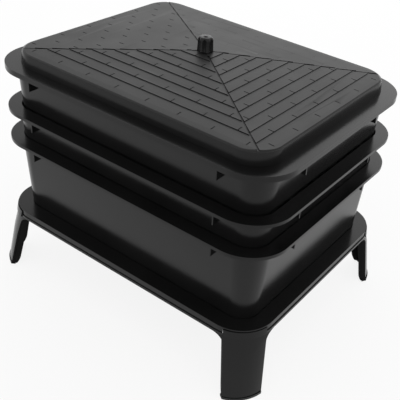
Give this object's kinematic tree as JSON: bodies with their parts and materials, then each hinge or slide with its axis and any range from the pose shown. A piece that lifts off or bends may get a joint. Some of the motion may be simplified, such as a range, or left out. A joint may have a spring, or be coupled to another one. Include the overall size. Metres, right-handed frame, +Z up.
{
  "type": "wormery",
  "caption": "Black moulded wormery: hipped shingled lid with a fluted knob, stacked working trays with drain holes, and a collector base on curved corner legs with a drain tap",
  "frame": {"origin": "on the floor, under the middle of the wormery", "axes": "+Z up, X along the long side with the tap at -X, Y along the short side"},
  "size_m": [0.62, 0.4918, 0.4995],
  "materials": {
    "base_plastic": "satin-glossy black moulded plastic",
    "leg_plastic": "satin-glossy black moulded plastic",
    "tray_plastic": "satin-glossy black moulded plastic",
    "lid_plastic": "black moulded plastic, glossy wall and finely grained roof panels",
    "knob_plastic": "satin black plastic",
    "tap_plastic": "black moulded plastic",
    "seal_rubber": "matt black rubber",
    "screw_steel": "zinc-plated steel"
  },
  "bodies": {
    "base": {"collector_base": "base_plastic", "leg_front_right": "leg_plastic", "leg_front_left": "leg_plastic", "leg_rear_right": "leg_plastic", "leg_rear_left": "leg_plastic", "tap_body": "tap_plastic", "tap_nut": "tap_plastic", "tap_washer_outer": "seal_rubber", "tap_washer_inner": "seal_rubber"},
    "tray_bottom": {"working_tray_bottom": "tray_plastic"},
    "tray_middle": {"working_tray_middle": "tray_plastic"},
    "tray_top": {"working_tray_top": "tray_plastic"},
    "cover": {"lid": "lid_plastic", "lid_knob": "knob_plastic", "knob_screw": "screw_steel", "knob_washer": "screw_steel"},
    "tap_lever": {"tap_handle": "tap_plastic"}
  },
  "joints": [
    {"name": "bottom_tray_lift", "type": "slide", "parent": "base", "child": "tray_bottom", "axis": [0, 0, 1], "range_m": [0, 0.18]},
    {"name": "middle_tray_lift", "type": "slide", "parent": "tray_bottom", "child": "tray_middle", "axis": [0, 0, 1], "range_m": [0, 0.18]},
    {"name": "top_tray_lift", "type": "slide", "parent": "tray_middle", "child": "tray_top", "axis": [0, 0, 1], "range_m": [0, 0.18]},
    {"name": "lid_lift", "type": "slide", "parent": "tray_top", "child": "cover", "axis": [0, 0, 1], "range_m": [0, 0.18]},
    {"name": "tap_turn", "type": "hinge", "parent": "base", "child": "tap_lever", "pos_m": [-0.29913, 0, 0.106], "axis": [0, 0, 1], "range_deg": [0, 90]}
  ]
}
